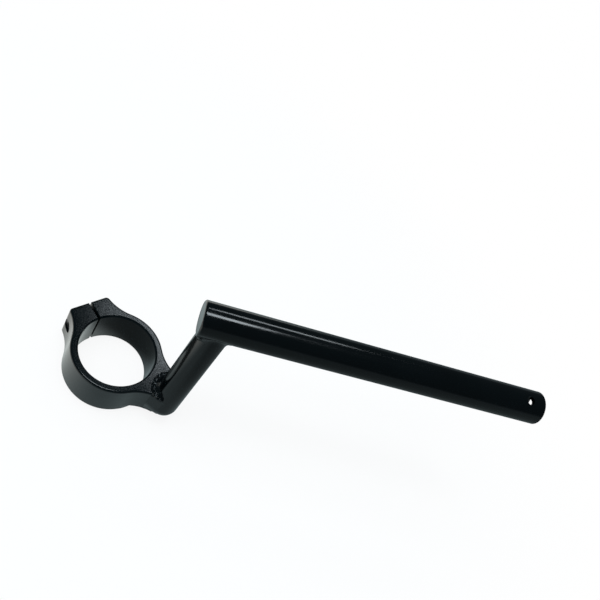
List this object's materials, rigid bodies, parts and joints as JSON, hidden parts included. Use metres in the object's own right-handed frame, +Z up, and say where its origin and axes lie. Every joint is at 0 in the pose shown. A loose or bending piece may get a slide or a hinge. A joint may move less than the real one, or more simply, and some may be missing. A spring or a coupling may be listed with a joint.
{
  "type": "clip-on handlebar riser",
  "caption": "Split fork clamp with a short arm, a leaning riser post welded to it and a straight handlebar tube welded across the top, for one side of a motorcycle.",
  "frame": {"origin": "centre of the fork bore, at the clamp's mid height", "axes": "+Z up the fork leg, +X along the clamp's arm towards the riser, +Y completes a right-handed frame"},
  "size_m": [0.2906, 0.1302, 0.137],
  "materials": {
    "clamp_coat": "satin black powder coat with a fine grain",
    "tube_coat": "gloss black coat on steel tube",
    "weld_coat": "gloss black coat over weld beads",
    "bolt_steel": "blackened steel"
  },
  "bodies": {
    "root": {"clamp": "clamp_coat", "pinch_bolt": "bolt_steel", "riser": "tube_coat", "bar_tube": "tube_coat", "end_cap": "tube_coat", "foot_weld": "weld_coat", "flank_weld": "weld_coat", "top_weld": "weld_coat", "cap_weld": "weld_coat"}
  },
  "joints": []
}
